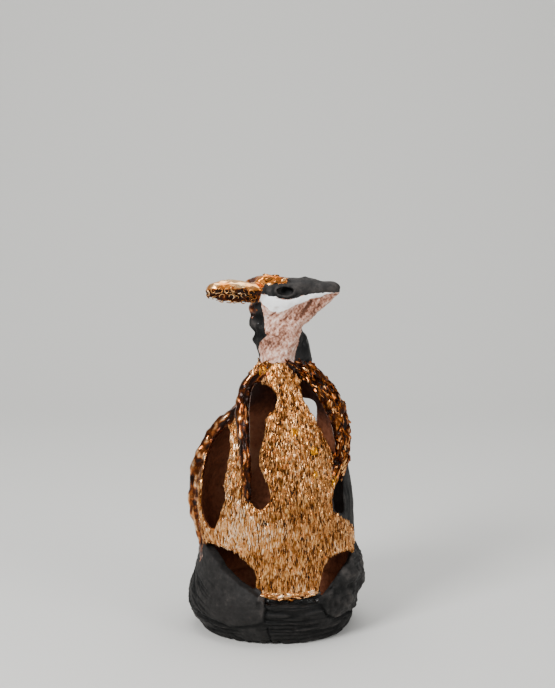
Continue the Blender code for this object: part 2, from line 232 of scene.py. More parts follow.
# %% Round the facets and lay an even net
NET_MM = 1.45


def applied(obj):
    """The object with its modifiers turned into plain mesh."""
    bpy.context.view_layer.update()
    made = bpy.data.meshes.new_from_object(obj.evaluated_get(bpy.context.evaluated_depsgraph_get()))
    obj.modifiers.clear()
    obj.data = made
    return obj


def new_object(name, data):
    """A mesh, lamp or camera put into the scene."""
    made = bpy.data.objects.new(name, data)
    bpy.context.scene.collection.objects.link(made)
    return made


clay = new_object("fired_clay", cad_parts["wallaby"].data.copy())
clay.data.materials.clear()
weld = clay.modifiers.new("weld", "WELD")
weld.merge_threshold = 0.00001
applied(clay)
soften = clay.modifiers.new("soften", "SUBSURF")
soften.levels = soften.render_levels = 2
net = clay.modifiers.new("net", "REMESH")
net.mode = "VOXEL"
net.voxel_size = NET_MM / 1000
applied(clay)
print("net of", len(clay.data.polygons), "faces")

# %% [markdown]
# ## Reading the mesh
#
# numpy works on all the points at once. These helpers read the points and normals of a mesh in
# millimetres and average values over neighbours, which calms the normals before they are asked which
# side of a wall they belong to.

# %% Mesh reading helpers


def points_of(mesh):
    made = np.empty(len(mesh.vertices) * 3)
    mesh.vertices.foreach_get("co", made)
    return made.reshape(-1, 3) * 1000


def normals_of(mesh):
    made = np.empty(len(mesh.vertices) * 3)
    mesh.vertex_normals.foreach_get("vector", made)
    return made.reshape(-1, 3)


def averaged(mesh, values, times):
    """Values at points, averaged with their neighbours a number of times."""
    edges = np.empty(len(mesh.edges) * 2, dtype=np.int32)
    mesh.edges.foreach_get("vertices", edges)
    ends = edges.reshape(-1, 2)
    count = 1.0 + np.bincount(ends.ravel(), minlength=len(values))
    for _ in range(times):
        total = values.copy()
        for k in range(values.shape[1]):
            total[:, k] += np.bincount(ends[:, 0], values[ends[:, 1], k], len(values))
            total[:, k] += np.bincount(ends[:, 1], values[ends[:, 0], k], len(values))
        values = total / count[:, None]
    return values


def angle_round(points):
    """Degrees round from the front, positive to the right."""
    return np.degrees(np.arctan2(points[:, 0], -points[:, 1]))


print("height of the net:", points_of(clay.data)[:, 2].max().round(1), "mm")

# %% [markdown]
# ## Which glaze goes where
#
# Each glaze gets a number at every point: a half on its edge, towards one inside it and towards nought
# outside. The shader later adds a little noise to that number before it cuts at a half, which gives the
# crisp but wavering edge of a brushed glaze, finer than the mesh itself.

# %% Places of the glazes on the body
EDGE_MM = 24.0


def within(distance):
    """Turns a distance inside an edge, in millimetres, into a half on the edge and 0 to 1 across it."""
    return np.clip(0.5 + distance / EDGE_MM, 0, 1)


def shoulder(points):
    """Height of the ragged edge where the gold ends and the painted neck begins."""
    return SHOULDER_Z + 5 * hills(points, (6, 6, 60), 30)


def body_places(points, facing):
    """How far each point is inside the glazes and parts below the shoulders, in millimetres."""
    x, y, z = points.T
    degrees = angle_round(points)
    radius = np.hypot(x, y)
    outward = (facing[:, 0] * x + facing[:, 1] * y) / np.maximum(radius, 1)
    per_degree = radius * math.pi / 180
    below = shoulder(points) - z
    base = read_off(BASE_EDGE, degrees) - z
    base = base + 5 * hills(points, (26, 26, 60), 42) * ramp(90, 115, np.abs(degrees))
    past_right = (degrees - read_off(GOLD_RIGHT, z)) * per_degree
    past_left = (GOLD_LEFT_DEG - degrees) * per_degree + 9 * hills(points, (60, 60, 24), 40)
    back = np.maximum(past_right, past_left)
    inner = np.where(z < SHOULDER_Z, -outward * 14 - 3, -12)
    side = read_off(SIDE_REACH, z) - along_path(points, SIDE_ROLL)[0]
    to_arm = along_path(points, ARM_ROLL)[0]
    arm = np.minimum(read_off(ARM_REACH, z) - to_arm, 424 - z)
    # Inside, black slip laps over the rim and was smeared beside the arm's roll; low on the right the inside
    # is painted black as shade
    rim = np.minimum(14 - np.abs(z + 9 - read_off(BASE_EDGE, degrees)), 80 - np.abs(degrees))
    shaded = np.minimum(np.minimum(x - 62, 268 - z), z - 165) + 12 * hills(points, 34, 39)
    smeared = np.minimum(30 - to_arm, 330 - z)
    lip = np.minimum(LIP_HALF_DEG - np.abs(degrees - LIP_DEG), -inner)
    lip = np.minimum(np.minimum(LIP_Z + 4 - z, -base), lip)
    spots = np.max([size - np.hypot(x - at_x, z - at_z) for at_x, at_z, size in YELLOW_SPOTS], axis=0)
    return {
        "base": np.minimum(base, below),
        "black": np.minimum(np.maximum(base, back), below + 6),
        "gold": below,
        "copper": np.maximum(np.maximum(side, arm), lip),
        "bark": np.minimum(FLAP_RADIUS + 2 - along_path(points, ARM_FLAP)[0], below + 1),
        "bare": np.minimum(inner, -np.maximum(np.maximum(rim, shaded), smeared)),
        "inner": inner,
        "yellow": np.where(y < 0, spots, -12),
    }


# %% Places of the glazes on the head


def head_places(points, facing):
    """How far each point is inside the glazes and parts above the shoulders, in millimetres."""
    x, y, z = points.T
    above = z - shoulder(points) + 1
    near_ear = np.minimum(np.minimum(-24 - x + 0.35 * (z - 549), z - 526), 20 - y)
    far_ear = np.minimum(y - 8 - 0.2 * (x + 10), np.minimum(-4 - x, z - 518))
    # The upward-facing top of the near ear is given the lighter amber, as painted light
    lit_ear_top = np.minimum(near_ear, 14 * facing[:, 2] - 2)
    crest = np.minimum(z - 563.5 + 0.12 * np.abs(y), 17 - x)
    lump = np.minimum(8 - np.hypot(x + 40, (z - 517) * 0.66), 14 - y)
    nape = np.minimum(read_off(NAPE_REACH, z) - x, 533 - z)
    behind = y - np.interp(x, [-34, -25, 0, 30], [-17, -4, 14, 2])
    behind = behind - 16 * ramp(465, 500, z) * ramp(-20, 0, x)
    mane = np.maximum(behind, x - read_off(MANE_REACH, z))
    mane = np.where(z < 510 + 0.25 * (y - 10) - 0.5 * x, mane, np.minimum(y - 14, -x - 2))
    black = np.maximum(np.maximum(z - read_off(BLACK_TO_WHITE, x), nape), mane)
    white = np.minimum(read_off(BLACK_TO_WHITE, x) - z, z - read_off(WHITE_TO_PINK, x))
    return {
        "black_head": np.minimum(black, above),
        "copper_head": np.minimum(np.maximum(near_ear, lump), above),
        "amber": np.minimum(np.maximum(np.maximum(far_ear, crest), lit_ear_top), above),
        "white": np.minimum(np.minimum(white, x + 27), above),
        "pink": above,
        "near_ear": np.minimum(near_ear, above),
        "nape": np.minimum(nape, z - 462),
        "mane": np.minimum(mane, above),
    }


def places(points, facing):
    """For every point, how far it is inside each glaze or part: a half on its edge."""
    found = {**body_places(points, facing), **head_places(points, facing)}
    found["black"] = np.maximum(found["black"], found.pop("black_head"))
    found["copper"] = np.maximum(found["copper"], found.pop("copper_head"))
    return {name: within(distance) for name, distance in found.items()}


here = points_of(clay.data)
facing = averaged(clay.data, normals_of(clay.data), 3)
zones = places(here, facing)
print("points in each zone:", {name: int((values > 0.5).sum()) for name, values in zones.items()})

# %% [markdown]
# ## Marks of the hand and the tools
#
# Every mark is a height in millimetres along the normal, with a second number that paints shade into
# the colour: darker in creases and lighter on ridges, as painted shade and painted highlight, mixed with
# random tone. The belly has short upright gouges, the rolls are thumbed, the right arm is creased like
# bark, and the base is built of thin levels that were combed over, except where a smooth slab of clay
# was laid on it.

# %% Marks on the belly and the rolls


def only(zone, name, *others):
    """1 well inside a zone and outside the others, 0 elsewhere."""
    share = ramp(0.5, 0.58, zone[name])
    for other in others:
        share = share * (1 - ramp(0.42, 0.5, zone[other]))
    return share


def belly_marks(points, zone):
    """Short upright gouges, and the lip at the foot."""
    belly = only(zone, "gold", "black", "copper", "bark", "inner")
    gouges = 1.2 * hills(points, (3.8, 3.8, 11), 4) + 0.8 * hills(points, (2.9, 2.9, 7), 5)
    degrees = angle_round(points)
    lip = groove(points[:, 2] - LIP_Z, 3.5) * (degrees > -14) * (degrees < 36)
    lip = lip * (1 - ramp(0.42, 0.5, zone["inner"])) * (1.5 + hills(points, 6, 38))
    return belly * (0.9 * gouges - 0.5) + 1.4 * lip, belly * gouges + lip


def roll_marks(points, zone):
    """Strands along the rolls, dents of the thumb, and a split that wanders down the middle."""
    rolls = only(zone, "copper", "inner") * (points[:, 2] < SHOULDER_Z)
    away, place, across = along_path(points, ARM_ROLL)
    side_away, side_place, side_across = along_path(points, SIDE_ROLL)
    on_arm = away < side_away
    along = np.where(on_arm, place, side_place + 500)
    across = np.where(on_arm, across, side_across)
    rope = np.stack([along, across, 0.6 * points[:, 1]], axis=1)
    strands = hills(rope, (24, 4.6, 7), 6) + 0.6 * hills(rope, (11, 3.4, 5), 7)
    thumbed = hills(rope, (12, 15, 15), 19)
    split = groove(across - 1.5 - 3 * hills(rope, (30, 60, 60), 31), 1.8) * np.where(on_arm, 1.0, 0.35)
    height = 1.3 * strands + 2.0 * thumbed - 2.0 * split - 0.3
    depth = 1.4 * strands + 0.6 * thumbed - 1.0 * split - 0.45 * on_arm
    return rolls * height, rolls * depth


def bark_marks(points, zone):
    """Curled plates along the right arm, with splits between them."""
    bark = only(zone, "bark", "inner")
    _, travelled, across = along_path(points, ARM_FLAP)
    turned = np.stack([travelled, across + 0.3 * travelled, points[:, 1]], axis=1)
    plates = hills(turned, (20, 6.5, 8), 8)
    split = groove(plates, 0.16)
    curl = 0.7 * hills(points, 5, 9)
    height = 3.2 * np.abs(plates) - 1.6 * split + curl - 0.8
    return bark * height, bark * (2.4 * np.abs(plates) - 1.5 * split + curl - 0.5)


# %% Marks on the base
MM_PER_DEGREE = 2.15
SLAB_FOOT = [(-104, 58), (-70, 40), (-35, 28), (-8, 40)]
HAUNCH_FOOT = [(28, 74), (33, 66), (38, 47), (46, 36), (60, 38), (80, 30), (118, 25)]
SEAM_DEG = -8.0
CRACK_DEG = -5.5


def base_shapes(points):
    """Where the slab and the haunch lie, the heights of their feet, and how plain the levels show."""
    z = points[:, 2]
    degrees = angle_round(points)
    slab = ramp(-104, -88, degrees) * (1 - ramp(SEAM_DEG - 2, SEAM_DEG, degrees))
    slab_foot = read_off(SLAB_FOOT, degrees) + 3 * hills(points, 22, 10)
    slab = slab * ramp(-2.5, 2.5, z - slab_foot)
    haunch = ramp(28, 38, degrees) * (1 - ramp(110, 122, degrees))
    haunch_foot = read_off(HAUNCH_FOOT, degrees) + 3 * hills(points, 18, 20)
    over = haunch * ramp(-2, 2, z - haunch_foot)
    worn = ramp(-0.9, 0.3, hills(points, (40, 40, 18), 13))
    return over, haunch, slab_foot, haunch_foot, (1 - slab) * (1 - 0.8 * over) * worn


def base_marks(points, zone):
    """Level lines, combing, the seam and its welt, a crack, and the folds under the slab and haunch."""
    z = points[:, 2]
    degrees = angle_round(points)
    arc = degrees * MM_PER_DEGREE
    outside = only(zone, "base", "inner") * ramp(0.5, 4, z)
    over, haunch, slab_foot, haunch_foot, layers = base_shapes(points)

    def levels(width, height, seed, slope=0.0):
        return hills(np.stack([arc, 0 * z, z + slope * arc], axis=1), (width, 1, height), seed)

    coarse, fine = levels(75, 6.4, 11), levels(46, 4.4, 12)
    lines = layers * (1.0 * groove(coarse, 0.15) + 0.8 * groove(fine, 0.17))
    combed = ramp(-112, -100, degrees) * (1 - ramp(-66, -44, degrees))
    combed = combed * ramp(30, 40, z) * (1 - ramp(84, 100, z))
    combed = 1.5 * combed * groove(levels(60, 5.5, 21, 0.4), 0.2)
    wobble = 2 * hills(points, 12, 14)
    seam = groove(arc - SEAM_DEG * MM_PER_DEGREE + wobble, 1.7) * ramp(36, 46, z)
    welt = groove(arc - (SEAM_DEG - 3) * MM_PER_DEGREE + wobble, 3.4) * ramp(36, 50, z)
    crack = groove(arc - CRACK_DEG * MM_PER_DEGREE + 3 * hills(points, 14, 15), 1.2)
    crack = crack * (1 - ramp(30, 36, z))
    fold = groove(z - slab_foot, 2.2) * ramp(-100, -80, degrees) * (1 - ramp(-12, -8, degrees))
    under = groove(z - haunch_foot + 2.5, 3.0) * haunch
    lumps = 1.9 * hills(points, 17, 22) + 1.3 * hills(points, 7.5, 23)
    rubbed = hills(points, (7, 7, 4), 24) + 0.7 * hills(points, 3.6, 32)
    height = 1.3 * layers * coarse - 2.1 * lines - combed - 2.2 * seam + 1.2 * welt - 2.1 * crack
    height = height - 1.4 * fold - 2.8 * under + over * (0.8 + lumps + 0.8 * rubbed) + 0.6 * rubbed
    # Painted shade: the colour is darker in the lines, combing, seam, crack, folds and under the haunch's
    # foot
    depth = 0.5 * layers * coarse - 1.6 * lines - 1.4 * combed - 2.4 * (seam + crack + 0.7 * fold + under)
    return outside * height, outside * (depth + 0.5 * over * lumps + 0.5 * welt + 0.1 * rubbed)


def back_marks(points, zone):
    """Strokes and thumb dents down the black back: a guess, since only the front was photographed."""
    back = only(zone, "black", "base", "inner") * (points[:, 2] < SHOULDER_Z)
    strokes = 1 - 2.2 * np.abs(hills(points, (8, 8, 34), 35))
    dents = hills(points, (21, 21, 17), 36)
    return back * (0.9 * strokes + 1.5 * dents), back * (0.8 * strokes + 0.4 * dents - 0.5)


# %% Marks on the head and the neck


def head_marks(points, zone):
    """The eye and its lids, the mouth, wrinkles of the ears, knobs of the nape, and folds of the throat."""
    x, y, z = points.T
    head = ramp(440, 470, z)
    eye = np.linalg.norm((np.stack([x, np.abs(y), z], axis=1) - EYE) / (1.6, 4.0, 0.9), axis=1)
    eye = eye + 2.6 * hills(points, 8, 37)
    hollow = 1 - ramp(4.5, 8.0, eye)
    brow = ramp(-2, 5, z - EYE[2] + 0.25 * (x - EYE[0]))
    lids = groove(eye - 9.5, 2.4) * (0.1 + brow * (x < EYE[0]) + 1.3 * hills(points, 7, 25))
    fold = groove(eye - 12.5, 1.7) * (1 - brow)
    ears = np.maximum(ramp(0.5, 0.6, zone["near_ear"]), ramp(0.5, 0.6, zone["amber"]))
    wrinkles = ears * ramp(-2, 6, 548 - z) * (1 - 2 * np.abs(hills(points, 6.5, 26)))
    nape = ramp(0.5, 0.6, zone["nape"]) * np.cos(2 * math.pi * (z - 494) / 26)
    locks = 1 - 2.4 * np.abs(hills(points, (9, 9, 30), 27)) + 0.7 * hills(points, 8, 33)
    mane = ramp(0.5, 0.58, zone["mane"]) * (1 - ramp(505, 515, z)) * locks
    painted = np.maximum(zone["black"], zone["white"])
    throat = ramp(0.5, 0.56, zone["pink"]) * (1 - ramp(0.44, 0.5, painted)) * (1 - ears)
    slanted = np.stack([x * 0.5, y, z - 0.9 * x], axis=1)
    folds = groove(hills(slanted, (34, 24, 15), 28), 0.17) + 0.5 * groove(hills(points, (9, 9, 7), 29), 0.14)
    pinches = hills(points, (12, 9, 8), 16) + 0.6 * hills(points, 5.5, 34)
    mouth = (y < 0) * groove(along_path(points * (1, 0, 1), [(a, 0, b) for a, b in MOUTH])[0], 2.2)
    height = 1.8 * lids - 9.0 * hollow - 1.6 * fold + 0.7 * wrinkles + 1.6 * nape + 2.2 * mane
    height = height - 1.9 * throat * folds + 1.3 * pinches - 1.7 * mouth
    # Painted shade: the eye's hollow, the fold round it, the mouth and the throat's folds are darker
    depth = 0.3 * lids - 4.0 * hollow - 1.8 * fold + 0.9 * wrinkles + 0.8 * nape + 1.2 * mane
    depth = depth - 0.7 * throat * folds + 0.25 * pinches - 2.0 * mouth
    near_ear, amber = ramp(0.5, 0.56, zone["near_ear"]), ramp(0.5, 0.56, zone["amber"])
    under = near_ear * (1 - ramp(0.44, 0.5, zone["amber"]))
    far = amber * (y > 10)
    # Painted light towards the top of the head, and painted shade under the near ear
    depth = depth + 0.4 * ramp(528, 545, z) * (1 - ears) - 1.1 * under + 0.5 * far
    dark = np.maximum(ramp(0.5, 0.58, zone["mane"]), ramp(0.5, 0.58, zone["nape"]))
    lit_ear_top = near_ear * amber
    dents = hills(points, (14, 11, 11), 41)
    height = height + 1.8 * lit_ear_top * dents
    crown = amber * (1 - ramp(0.44, 0.5, zone["near_ear"]))
    # The mane, which lies in shade, and the nape are painted darker; painted light on the near ear's top,
    # most towards its tip
    depth = depth - 0.9 * dark + lit_ear_top * (ramp(28, 42, -x) + 1.5 * dents) - 0.5 * crown
    return head * height, head * depth


# %% Press the marks into the clay


def carve(points, zone):
    """The height of the marks at every point, in millimetres, and a painted shade: low in creases, high on
    ridges.
    """
    inside = ramp(0.5, 0.56, zone["inner"])
    height = 0.8 * hills(points, 46, 1) + 0.45 * hills(points, 19, 2) + 0.3 * hills(points, 9, 3)
    depth = 0.4 * hills(points, 6, 18)
    for marks in (belly_marks, roll_marks, bark_marks, base_marks, back_marks, head_marks):
        more_height, more_depth = marks(points, zone)
        height = height + more_height * (1 - inside)
        depth = depth + more_depth * (1 - inside)
    height = height + inside * 0.7 * hills(points, (22, 22, 30), 17)
    return height * ramp(0.3, 3.5, points[:, 2]), depth


height, _ = carve(here, zones)
marked = here + normals_of(clay.data) * height[:, None]
marked[:, 2] = np.maximum(marked[:, 2], 0.0)
clay.data.vertices.foreach_set("co", (marked / 1000).ravel())
clay.data.update()
print("marks from", height.min().round(2), "to", height.max().round(2), "mm")

# %% [markdown]
# ## Spending triangles where they show
#
# Decimate joins triangles first where the surface is flat, so the smooth inner walls become coarse and
# the gouged belly stays fine. The glaze numbers are then worked out again for the points that are left.

# %% Thin the net and store the glaze numbers
MOST_TRIANGLES = 190000

thin = clay.modifiers.new("thin", "DECIMATE")
thin.ratio = MOST_TRIANGLES / (2 * len(clay.data.polygons))
thin.use_collapse_triangulate = True
applied(clay)


def store(mesh, name, values):
    """Keeps one number for each point, which a shader's Attribute node can read by name."""
    layer = mesh.attributes.get(name) or mesh.attributes.new(name, "FLOAT", "POINT")
    layer.data.foreach_set("value", np.ascontiguousarray(values, dtype=np.float32))


here = points_of(clay.data)
facing = averaged(clay.data, normals_of(clay.data), 4)
zones = places(here, facing)
for name, values in zones.items():
    store(clay.data, name, values)
_, depth = carve(here, zones)
# Painted shade and highlight: the colour is darker in creases and lighter on ridges, mixed with random tone
store(clay.data, "ridge", np.clip(0.5 + 0.3 * depth, 0, 1))
print("clay keeps", len(clay.data.polygons), "triangles")

# %% Stains on the throat, darkening inside the top, wet gleams on the black and painted light on the gold


def stains_and_darkening(points):
    """Where iron has browned the pink, and how much the bare clay inside is darkened towards the top."""
    x, y, z = points.T
    mouth = groove(along_path(points * (1, 0, 1), [(a, 0, b) for a, b in MOUTH])[0], 3.0)
    jaw = 0.4 * ramp(36, 60, x)
    nape = 0.5 * groove(np.hypot(x + 14, z - 480), 11)
    darker_up_inside = ramp(325, 365, z) * (z < SHOULDER_Z)
    return np.clip(0.8 * mouth + jaw + nape + darker_up_inside, 0, 1)


def gleams(points):
    """Where the black is glazed and wet: a knob at the nape, the ledge under the belly, and the mane."""
    x, y, z = points.T
    knob = groove(np.hypot(x + 27, z - 494), 6) * (y < 5)
    ledge = groove(z - 72, 5.0) * (np.abs(angle_round(points) - 9) < 24)
    mane = 0.48 * ramp(8, 20, x) * ramp(432, 440, z) * (1 - ramp(505, 515, z))
    return np.clip(knob + ledge + mane, 0, 1)


def paler(points):
    """Painted light on the gold: lighter on the belly's lower left, the strip to the arm and the lip."""
    x, y, z = points.T
    low = groove(np.hypot((x + 54) / 1.5, z - 182), 34)
    strip = 0.6 * groove(np.hypot(x + 66, (z - 285) / 2.6), 22)
    lip = 0.4 * groove(z - LIP_Z, 7) * (np.abs(angle_round(points) - LIP_DEG) < LIP_HALF_DEG)
    return np.clip(low + strip + lip, 0, 1) * (y < 0)


store(clay.data, "stain", stains_and_darkening(here))
store(clay.data, "gleam", gleams(here))
store(clay.data, "paler", paler(here))
store(clay.data, "levels", base_shapes(here)[-1])
print("stained points:", int((stains_and_darkening(here) > 0.5).sum()))

# %% [markdown]
# ## The glazes
#
# Each finish is a small recipe that gives a colour, a roughness, how metallic it is and a fine height
# for the bump. A lustre is a film of metal fired onto a glaze; its colour is painted bright on ridges and
# brown in creases, as painted highlight and painted shade. Slip is coloured clay brushed on thin, so it is
# matt and shows its strokes.

# %% Shader helpers
# A soft Map Range node takes a value, the range it comes from, and the range it goes to
SOFT = {"interpolation_type": "SMOOTHSTEP"}


def new_material(name):
    """A fresh material, its node tree and its shader."""
    made = bpy.data.materials.new(name)
    made.use_nodes = True
    return made, made.node_tree, made.node_tree.nodes["Principled BSDF"]


def grain(tree, where, size_mm, detail=3.0, stretch=(1, 1, 1), roughness=0.55, lean_deg=0.0):
    """Noise with features about size_mm across, from 0 to 1, its grain leaning to the right."""
    lean = (0.0, math.radians(-lean_deg), 0.0)
    leaned = add_node(tree, "ShaderNodeMapping", {"Vector": where, "Rotation": lean})
    scaled = add_node(tree, "ShaderNodeMapping", {"Vector": leaned, "Scale": stretch})
    sockets = {"Vector": scaled, "Scale": 500.0 / size_mm, "Detail": detail, "Roughness": roughness}
    return add_node(tree, "ShaderNodeTexNoise", sockets)


def weighed(tree, start, *parts):
    """A number, plus each value times its weight, counted from a half or from a third number."""
    total = start
    for value, weight, *middle in parts:
        centre = middle[0] if middle else 0.5
        centred = add_node(tree, "ShaderNodeMath", [value, centre], operation="SUBTRACT")
        scaled = add_node(tree, "ShaderNodeMath", [centred, weight], operation="MULTIPLY")
        total = add_node(tree, "ShaderNodeMath", [total, scaled], operation="ADD")
    return total


def spattered(tree, colour, marks, noise, weight, yellow):
    """The colour with the spots of yellow glaze on it, their edges broken up by a noise."""
    inside = weighed(tree, marks["yellow"], (noise, weight))
    share = add_node(tree, "ShaderNodeMapRange", [inside, 0.48, 0.56, 0.0, 1.0], **SOFT)
    return add_node(tree, "ShaderNodeMix", [share, colour, linear(yellow)], data_type="RGBA")


# %% Recipes for the lustres


def gold_recipe(tree, where, marks):
    """Gold lustre on gouged clay: painted pale on the ridges and brown in the gouges, as highlight and shade.
    """
    patch = grain(tree, where, 34, 2)
    dash = grain(tree, where, 2.6, 2, (1, 1, 0.32))
    tone = weighed(tree, marks["ridge"], (dash, 1.5), (patch, 0.5), (marks["paler"], 0.2, 0.0))
    stops = [(0.2, "1A0B04"), (0.45, "5A3010"), (0.62, "A06428"), (0.9, "EDB878")]
    colour = add_node(tree, "ShaderNodeValToRGB", [tone], stops)
    colour = spattered(tree, colour, marks, dash, 0.9, "D08A14")
    rough = add_node(tree, "ShaderNodeMapRange", [dash, 0.3, 0.7, 0.2, 0.42], **SOFT)
    metal = add_node(tree, "ShaderNodeMapRange", [tone, 0.2, 0.5, 0.3, 1.0], **SOFT)
    return colour, rough, metal, dash


def copper_recipe(tree, where, marks):
    """Copper lustre run thick over thumbed rolls: painted highlights on ridges, painted shade nearly black in
    creases.
    """
    fleck = grain(tree, where, 7, 2)
    tone = weighed(tree, marks["ridge"], (fleck, 1.2))
    stops = [(0.2, "1C0B05"), (0.4, "4C2410"), (0.57, "8C4E26"), (0.74, "CC8E5A"), (0.92, "F6D0AA")]
    colour = add_node(tree, "ShaderNodeValToRGB", [tone], stops)
    rough = add_node(tree, "ShaderNodeMapRange", [fleck, 0.3, 0.7, 0.13, 0.3], **SOFT)
    metal = add_node(tree, "ShaderNodeMapRange", [tone, 0.2, 0.5, 0.4, 1.0], **SOFT)
    return colour, rough, metal, fleck


def bark_recipe(tree, where, marks):
    """The same copper, thin and dark, on the curled plates of the right arm, with painted shade between them.
    """
    fleck = grain(tree, where, 6, 2, (1, 1, 0.6))
    tone = weighed(tree, marks["ridge"], (fleck, 1.3))
    stops = [(0.28, "1A0C06"), (0.5, "3E1F10"), (0.7, "8C4C20"), (0.95, "E2A86C")]
    colour = add_node(tree, "ShaderNodeValToRGB", [tone], stops)
    metal = add_node(tree, "ShaderNodeMapRange", [tone, 0.3, 0.6, 0.3, 1.0], **SOFT)
    return colour, 0.26, metal, fleck


def amber_recipe(tree, where, marks):
    """Lustre over honey glaze on the far ear and the crest, and on the near ear's upward-facing top as
    painted light.
    """
    fleck = grain(tree, where, 13, 3)
    tone = weighed(tree, marks["ridge"], (fleck, 1.4))
    stops = [(0.12, "4A2008"), (0.34, "B0601E"), (0.55, "EC9444"), (0.85, "FFCE94")]
    colour = add_node(tree, "ShaderNodeValToRGB", [tone], stops)
    metal = add_node(tree, "ShaderNodeMapRange", [tone, 0.2, 0.5, 0.4, 1.0], **SOFT)
    return colour, 0.26, metal, fleck


# %% Recipes for the slips and the bare clay


def black_recipe(tree, where, marks):
    """Black slip: matt, a little lighter where it is rubbed and on ridges, painted shade in grooves, and wet
    here and there.
    """
    cloud = grain(tree, where, 26, 4)
    grit = grain(tree, where, 2.0, 4)
    tone = weighed(tree, marks["ridge"], (cloud, 0.15), (grit, 0.35))
    stops = [(0.1, "030303"), (0.36, "151413"), (0.56, "242221"), (0.9, "443F3C")]
    colour = add_node(tree, "ShaderNodeValToRGB", [tone], stops)
    wet = add_node(tree, "ShaderNodeMapRange", [marks["gleam"], 0.35, 0.6, 0.0, 1.0], **SOFT)
    dry = add_node(tree, "ShaderNodeMapRange", [cloud, 0.3, 0.7, 0.55, 0.75], **SOFT)
    rough = add_node(tree, "ShaderNodeMix", [wet, dry, 0.2], data_type="FLOAT")
    return colour, rough, 0.0, grit


def base_recipe(tree, where, marks):
    """The same slip over thin levels of clay, whose joints are lines of dark."""
    colour, rough, metal, grit = black_recipe(tree, where, marks)
    level = grain(tree, where, 5.5, 3, (0.07, 0.07, 1.0))
    off = add_node(tree, "ShaderNodeMath", [level, 0.5], operation="SUBTRACT")
    off = add_node(tree, "ShaderNodeMath", [off], operation="ABSOLUTE")
    joint = add_node(tree, "ShaderNodeMapRange", [off, 0.004, 0.045, 0.0, 1.0], **SOFT)
    joint = add_node(tree, "ShaderNodeMix", [marks["levels"], 1.0, joint], data_type="FLOAT")
    colour = add_node(tree, "ShaderNodeMix", [joint, linear("0A0A09"), colour], data_type="RGBA")
    return colour, rough, metal, weighed(tree, joint, (grit, 0.7))


def white_recipe(tree, where, marks):
    """White slip, brushed on thick: chalky, with the pink showing through at its strokes."""
    stroke = grain(tree, where, 5, 4, (0.4, 1, 1))
    tone = weighed(tree, marks["ridge"], (stroke, 1.1))
    stops = [(0.05, "8E7A72"), (0.22, "D6CFCB"), (0.4, "F8F7F6"), (0.7, "FEFEFE")]
    return add_node(tree, "ShaderNodeValToRGB", [tone], stops), 0.6, 0.0, stroke


def pink_recipe(tree, where, marks):
    """Pink slip over brown clay: the brown is painted in creases as shade, and shows where the brush skipped.
    """
    blotch = grain(tree, where, 11, 5, (1, 1, 0.35), 0.65, lean_deg=38)
    stroke = grain(tree, where, 2.1, 4, (1, 1, 0.45), lean_deg=40)
    cross = grain(tree, where, 1.8, 4, (1, 1, 0.6), lean_deg=-25)
    worn = [(marks["ridge"], 0.8, 0.0), (blotch, 0.6), (stroke, 1.1), (cross, 1.0)]
    tone = weighed(tree, 0.09, *worn, (marks["stain"], -0.24, 0.0))
    stops = [(0.08, "5A3626"), (0.3, "A0705C"), (0.46, "CC9E8A"), (0.62, "DEBCAC"), (0.85, "F8ECE4")]
    return add_node(tree, "ShaderNodeValToRGB", [tone], stops), 0.5, 0.0, stroke


def bare_recipe(tree, where, marks):
    """Bare iron-bearing clay inside the shell: dry and red-brown, darker towards the top."""
    cloud = grain(tree, where, 60, 5)
    grit = grain(tree, where, 3, 4)
    tone = weighed(tree, 0.5, (cloud, 1.6), (grit, 0.5), (marks["stain"], -0.4, 0.0))
    stops = [(0.1, "482418"), (0.35, "7C4830"), (0.55, "A8684A"), (0.8, "BC8664")]
    return add_node(tree, "ShaderNodeValToRGB", [tone], stops), 0.6, 0.0, grit


# %% [markdown]
# ## One clay, painted in layers
#
# The whole figure is one mesh and one material, so the glazes are laid over the bare clay one after
# another, and each covers what its number says. Where two of them meet, the later one lies on top, so
# the list runs from the slips of the throat and face to the thick lustres of the rolls and the ears.

# %% The painted clay
LAYERS = {
    "pink": pink_recipe, "white": white_recipe, "gold": gold_recipe, "black": black_recipe,
    "base": base_recipe, "inner": black_recipe, "bare": bare_recipe, "bark": bark_recipe,
    "copper": copper_recipe, "amber": amber_recipe,
}
MARKS = ("ridge", "stain", "gleam", "paler", "levels", "yellow")
WAVER_MM = 7
BUMP_MM = 0.8


def read_marks(tree, names):
    """The numbers stored on the mesh, by name."""
    return {name: add_node(tree, "ShaderNodeAttribute", attribute_name=name).outputs["Fac"] for name in names}


def glazed_clay():
    """Iron-bearing clay under matt slips and metallic lustres: matt darks beside glinting ridges."""
    material, tree, shader = new_material("slipped_and_lustred_clay")
    where = add_node(tree, "ShaderNodeTexCoord").outputs["Object"]
    marks = read_marks(tree, MARKS)
    edges = read_marks(tree, LAYERS)
    waver = grain(tree, where, WAVER_MM, 4)
    finish = list(bare_recipe(tree, where, marks))
    for name, recipe in LAYERS.items():
        inside = weighed(tree, edges[name], (waver, 0.5))
        share = add_node(tree, "ShaderNodeMapRange", [inside, 0.485, 0.515, 0.0, 1.0], **SOFT)
        for k, new in enumerate(recipe(tree, where, marks)):
            kind = "RGBA" if k == 0 else "FLOAT"
            finish[k] = add_node(tree, "ShaderNodeMix", [share, finish[k], new], data_type=kind)
    colour, rough, metal, fine = finish
    bump = add_node(tree, "ShaderNodeBump", {"Height": fine, "Distance": BUMP_MM / 1000, "Strength": 0.9})
    plug_in(tree, shader, {"Base Color": colour, "Roughness": rough, "Metallic": metal, "Normal": bump})
    # Dry slip is full of pores, so it shines less than a closed glaze
    shader.inputs["Specular IOR Level"].default_value = 0.18
    return material


clay.data.materials.append(glazed_clay())
clay.data.shade_smooth()
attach(clay, "root")
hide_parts("wallaby")
print("painted", clay.name, "with", len(LAYERS), "layers")

